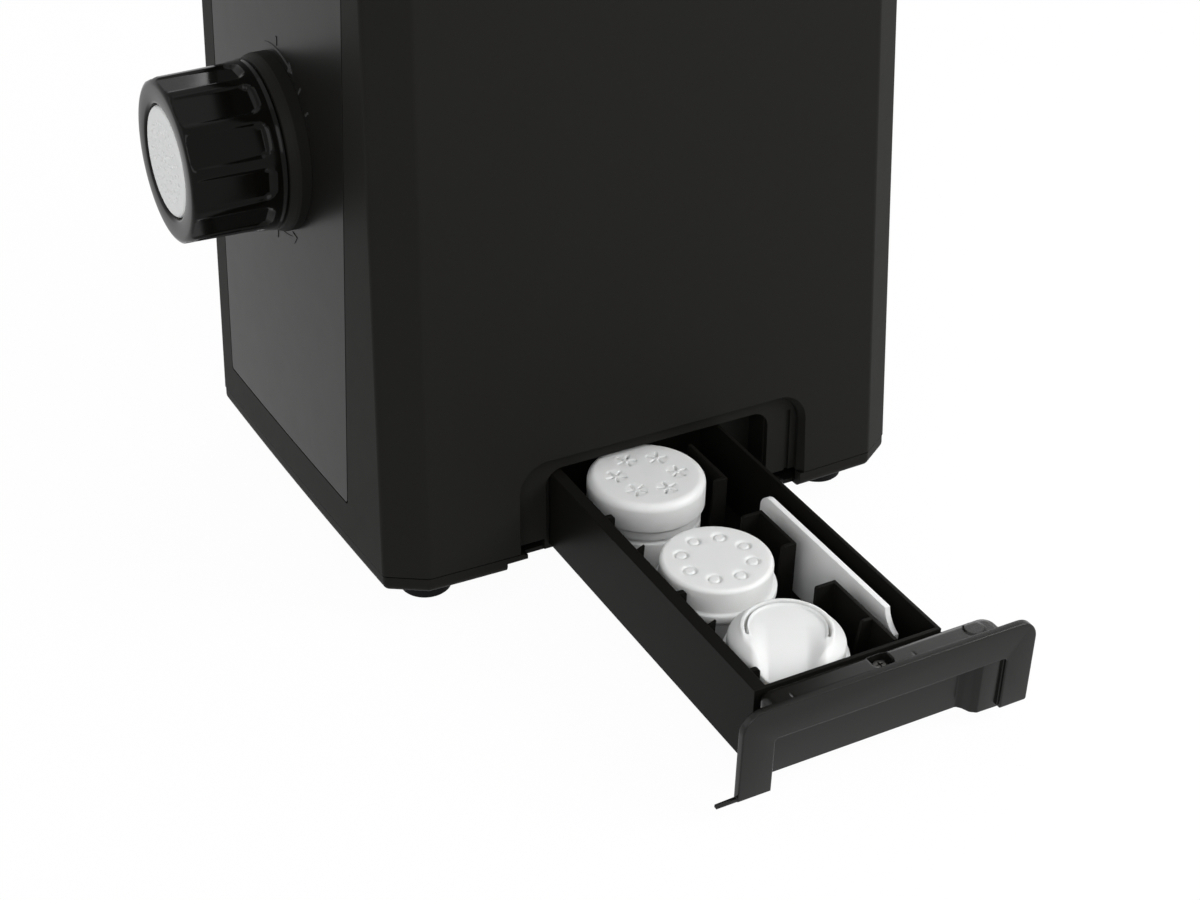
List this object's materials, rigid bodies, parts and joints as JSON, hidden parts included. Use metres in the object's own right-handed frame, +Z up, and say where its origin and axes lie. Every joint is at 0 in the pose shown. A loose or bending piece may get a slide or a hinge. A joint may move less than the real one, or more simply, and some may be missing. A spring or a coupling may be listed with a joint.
{
  "type": "electric pasta maker",
  "caption": "Upright electric pasta maker with a front die nut, a mixing chamber under a hinged lid and a pull-out die drawer in its right side.",
  "frame": {"origin": "on the standing surface, under the middle of the whole part's box with the drawer out", "axes": "+Z up, the die nut faces -Y, the drawer comes out towards +X"},
  "size_m": [0.3902, 0.3078, 0.3461],
  "materials": {
    "housing_black": "satin",
    "panel_grey": "satin",
    "gloss_black": "polished",
    "base_black": "matte",
    "foot_rubber": "matte",
    "mark_grey": "matte",
    "die_white": "satin",
    "tool_white": "satin",
    "drawer_black": "satin",
    "inner_grey": "matte",
    "clear_lid": "polished",
    "display_glass": "polished",
    "button_silver": "satin",
    "board_green": "matte",
    "component_black": "matte",
    "screw_steel": "satin",
    "shaft_steel": "polished",
    "gear_nylon": "satin",
    "pinion_steel": "satin",
    "gearbox_alloy": "matte",
    "bush_brass": "satin",
    "motor_steel": "satin",
    "core_iron": "matte",
    "winding_copper": "satin",
    "seal_silicone": "matte",
    "magnet_grey": "matte"
  },
  "bodies": {
    "housing": {"base_tray": "base_black", "feet": "foot_rubber", "foot_screws": "screw_steel", "base_screws": "screw_steel", "outer_housing": "housing_black", "front_panel": "panel_grey", "drawer_bay": "base_black", "outlet_collar": "base_black", "lock_marks": "mark_grey", "top_deck": "gloss_black", "display_window": "display_glass", "display_module": "inner_grey", "control_board": "board_green", "mixing_chamber": "inner_grey", "chamber_seal": "seal_silicone", "extruder_barrel": "inner_grey", "spaghetti_die": "die_white", "gearbox_case": "gearbox_alloy", "gearbox_cover": "gearbox_alloy", "gearbox_screws": "screw_steel", "front_bush": "bush_brass", "rear_bush": "bush_brass", "stage_axle": "shaft_steel", "motor_case": "motor_steel", "stator_core": "core_iron", "motor_end_cap": "component_black", "motor_screws": "screw_steel", "lid_sensor": "component_black", "hinge_pins": "shaft_steel", "cord_gland": "foot_rubber", "switch_body": "component_black", "power_board": "board_green"},
    "drawer": {"drawer_tray": "drawer_black", "divider": "drawer_black", "cleaning_tool": "tool_white", "drawer_front": "drawer_black", "drawer_screw": "screw_steel", "star_die": "die_white", "ring_die": "die_white", "sheet_die": "die_white"},
    "nut": {"locking_nut": "gloss_black"},
    "output_train": {"output_gear": "gear_nylon", "output_shaft": "shaft_steel", "mixing_paddle": "inner_grey", "auger": "inner_grey"},
    "stage_train": {"stage_gear": "gear_nylon", "stage_pinion": "pinion_steel"},
    "motor_rotor": {"motor_shaft": "shaft_steel", "motor_pinion": "pinion_steel", "rotor_core": "winding_copper", "cooling_fan": "component_black"},
    "lid": {"lid_frame": "gloss_black", "lid_window": "clear_lid", "lid_magnet": "magnet_grey"},
    "power_button": {"power_button": "button_silver"},
    "start_button": {"start_button": "button_silver"},
    "less_button": {"less_button": "button_silver"},
    "more_button": {"more_button": "button_silver"},
    "rocker": {"power_rocker": "component_black"}
  },
  "joints": [
    {"name": "drawer_slide", "type": "slide", "parent": "housing", "child": "drawer", "axis": [0.9986, 0, -0.0523], "range_m": [-0.173, 0]},
    {"name": "nut_turn", "type": "hinge", "parent": "housing", "child": "nut", "pos_m": [-0.08565, -0.13033, 0.1823], "axis": [0, 1, 0], "range_deg": [0, 60]},
    {"name": "auger_spin", "type": "hinge", "parent": "housing", "child": "output_train", "pos_m": [-0.08565, 0.01967, 0.1823], "axis": [0, 1, 0], "continuous": true},
    {"name": "stage_spin", "type": "hinge", "parent": "housing", "child": "stage_train", "pos_m": [-0.0787, 0.11167, 0.11868], "axis": [0, 1, 0], "continuous": true},
    {"name": "motor_spin", "type": "hinge", "parent": "housing", "child": "motor_rotor", "pos_m": [-0.11565, 0.01967, 0.093], "axis": [0, 1, 0], "continuous": true},
    {"name": "lid_hinge", "type": "hinge", "parent": "housing", "child": "lid", "pos_m": [-0.08565, 0.10767, 0.335], "axis": [-1, 0, 0], "range_deg": [0, 85]},
    {"name": "rocker_tilt", "type": "hinge", "parent": "housing", "child": "rocker", "pos_m": [-0.16065, 0.14693, 0.084], "axis": [-1, 0, 0], "range_deg": [0, 16]},
    {"name": "power_button_press", "type": "slide", "parent": "housing", "child": "power_button", "axis": [0, 0, -1], "range_m": [0, 0.001], "stiffness_N_per_m": 600, "springref_m": -0.001},
    {"name": "start_button_press", "type": "slide", "parent": "housing", "child": "start_button", "axis": [0, 0, -1], "range_m": [0, 0.001], "stiffness_N_per_m": 600, "springref_m": -0.001},
    {"name": "less_button_press", "type": "slide", "parent": "housing", "child": "less_button", "axis": [0, 0, -1], "range_m": [0, 0.001], "stiffness_N_per_m": 600, "springref_m": -0.001},
    {"name": "more_button_press", "type": "slide", "parent": "housing", "child": "more_button", "axis": [0, 0, -1], "range_m": [0, 0.001], "stiffness_N_per_m": 600, "springref_m": -0.001}
  ],
  "couplings": [
    {"joint": "stage_spin", "follows": "auger_spin", "ratio": -3.5714},
    {"joint": "motor_spin", "follows": "auger_spin", "ratio": 14.286}
  ]
}
